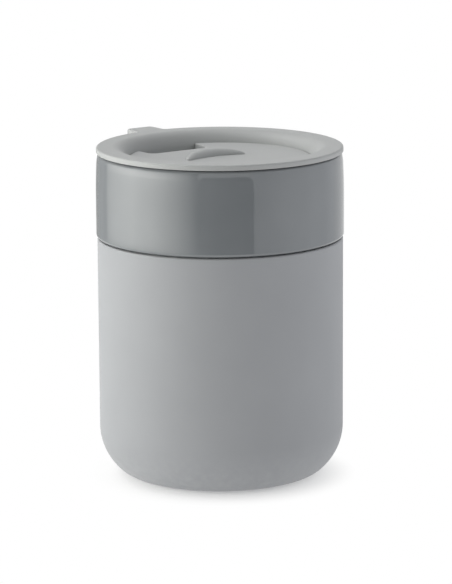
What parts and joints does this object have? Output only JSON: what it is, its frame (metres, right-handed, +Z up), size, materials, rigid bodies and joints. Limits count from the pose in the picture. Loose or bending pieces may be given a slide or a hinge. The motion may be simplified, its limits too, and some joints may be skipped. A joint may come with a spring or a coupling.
{
  "type": "ceramic tumbler",
  "caption": "Glazed ceramic tumbler in a matte silicone sleeve, with a press-in lid: pull tab, dished recess and a turning disc with an arched grip that opens and closes the sip slot.",
  "frame": {"origin": "centre of the flat base that the tumbler stands on", "axes": "+Z up along the cup's axis, +Y towards the lid's pull tab"},
  "size_m": [0.086, 0.094, 0.1151],
  "materials": {
    "glaze": "glossy grey glaze",
    "sleeve_silicone": "matte light grey silicone",
    "lid_plastic": "fine matte light grey",
    "gasket_silicone": "smooth pale grey silicone",
    "disc_plastic": "fine matte light grey"
  },
  "bodies": {
    "cup": {"ceramic_cup": "glaze", "silicone_sleeve": "sleeve_silicone"},
    "lid": {"lid_body": "lid_plastic", "lid_gasket": "gasket_silicone"},
    "closure": {"closure_disc": "disc_plastic"}
  },
  "joints": [
    {"name": "lid_lift", "type": "slide", "parent": "cup", "child": "lid", "axis": [0, 0, 1], "range_m": [0, 0.05]},
    {"name": "closure_turn", "type": "hinge", "parent": "lid", "child": "closure", "pos_m": [0, 0, 0.1094], "axis": [0, 0, -1], "range_deg": [0, 90]}
  ]
}
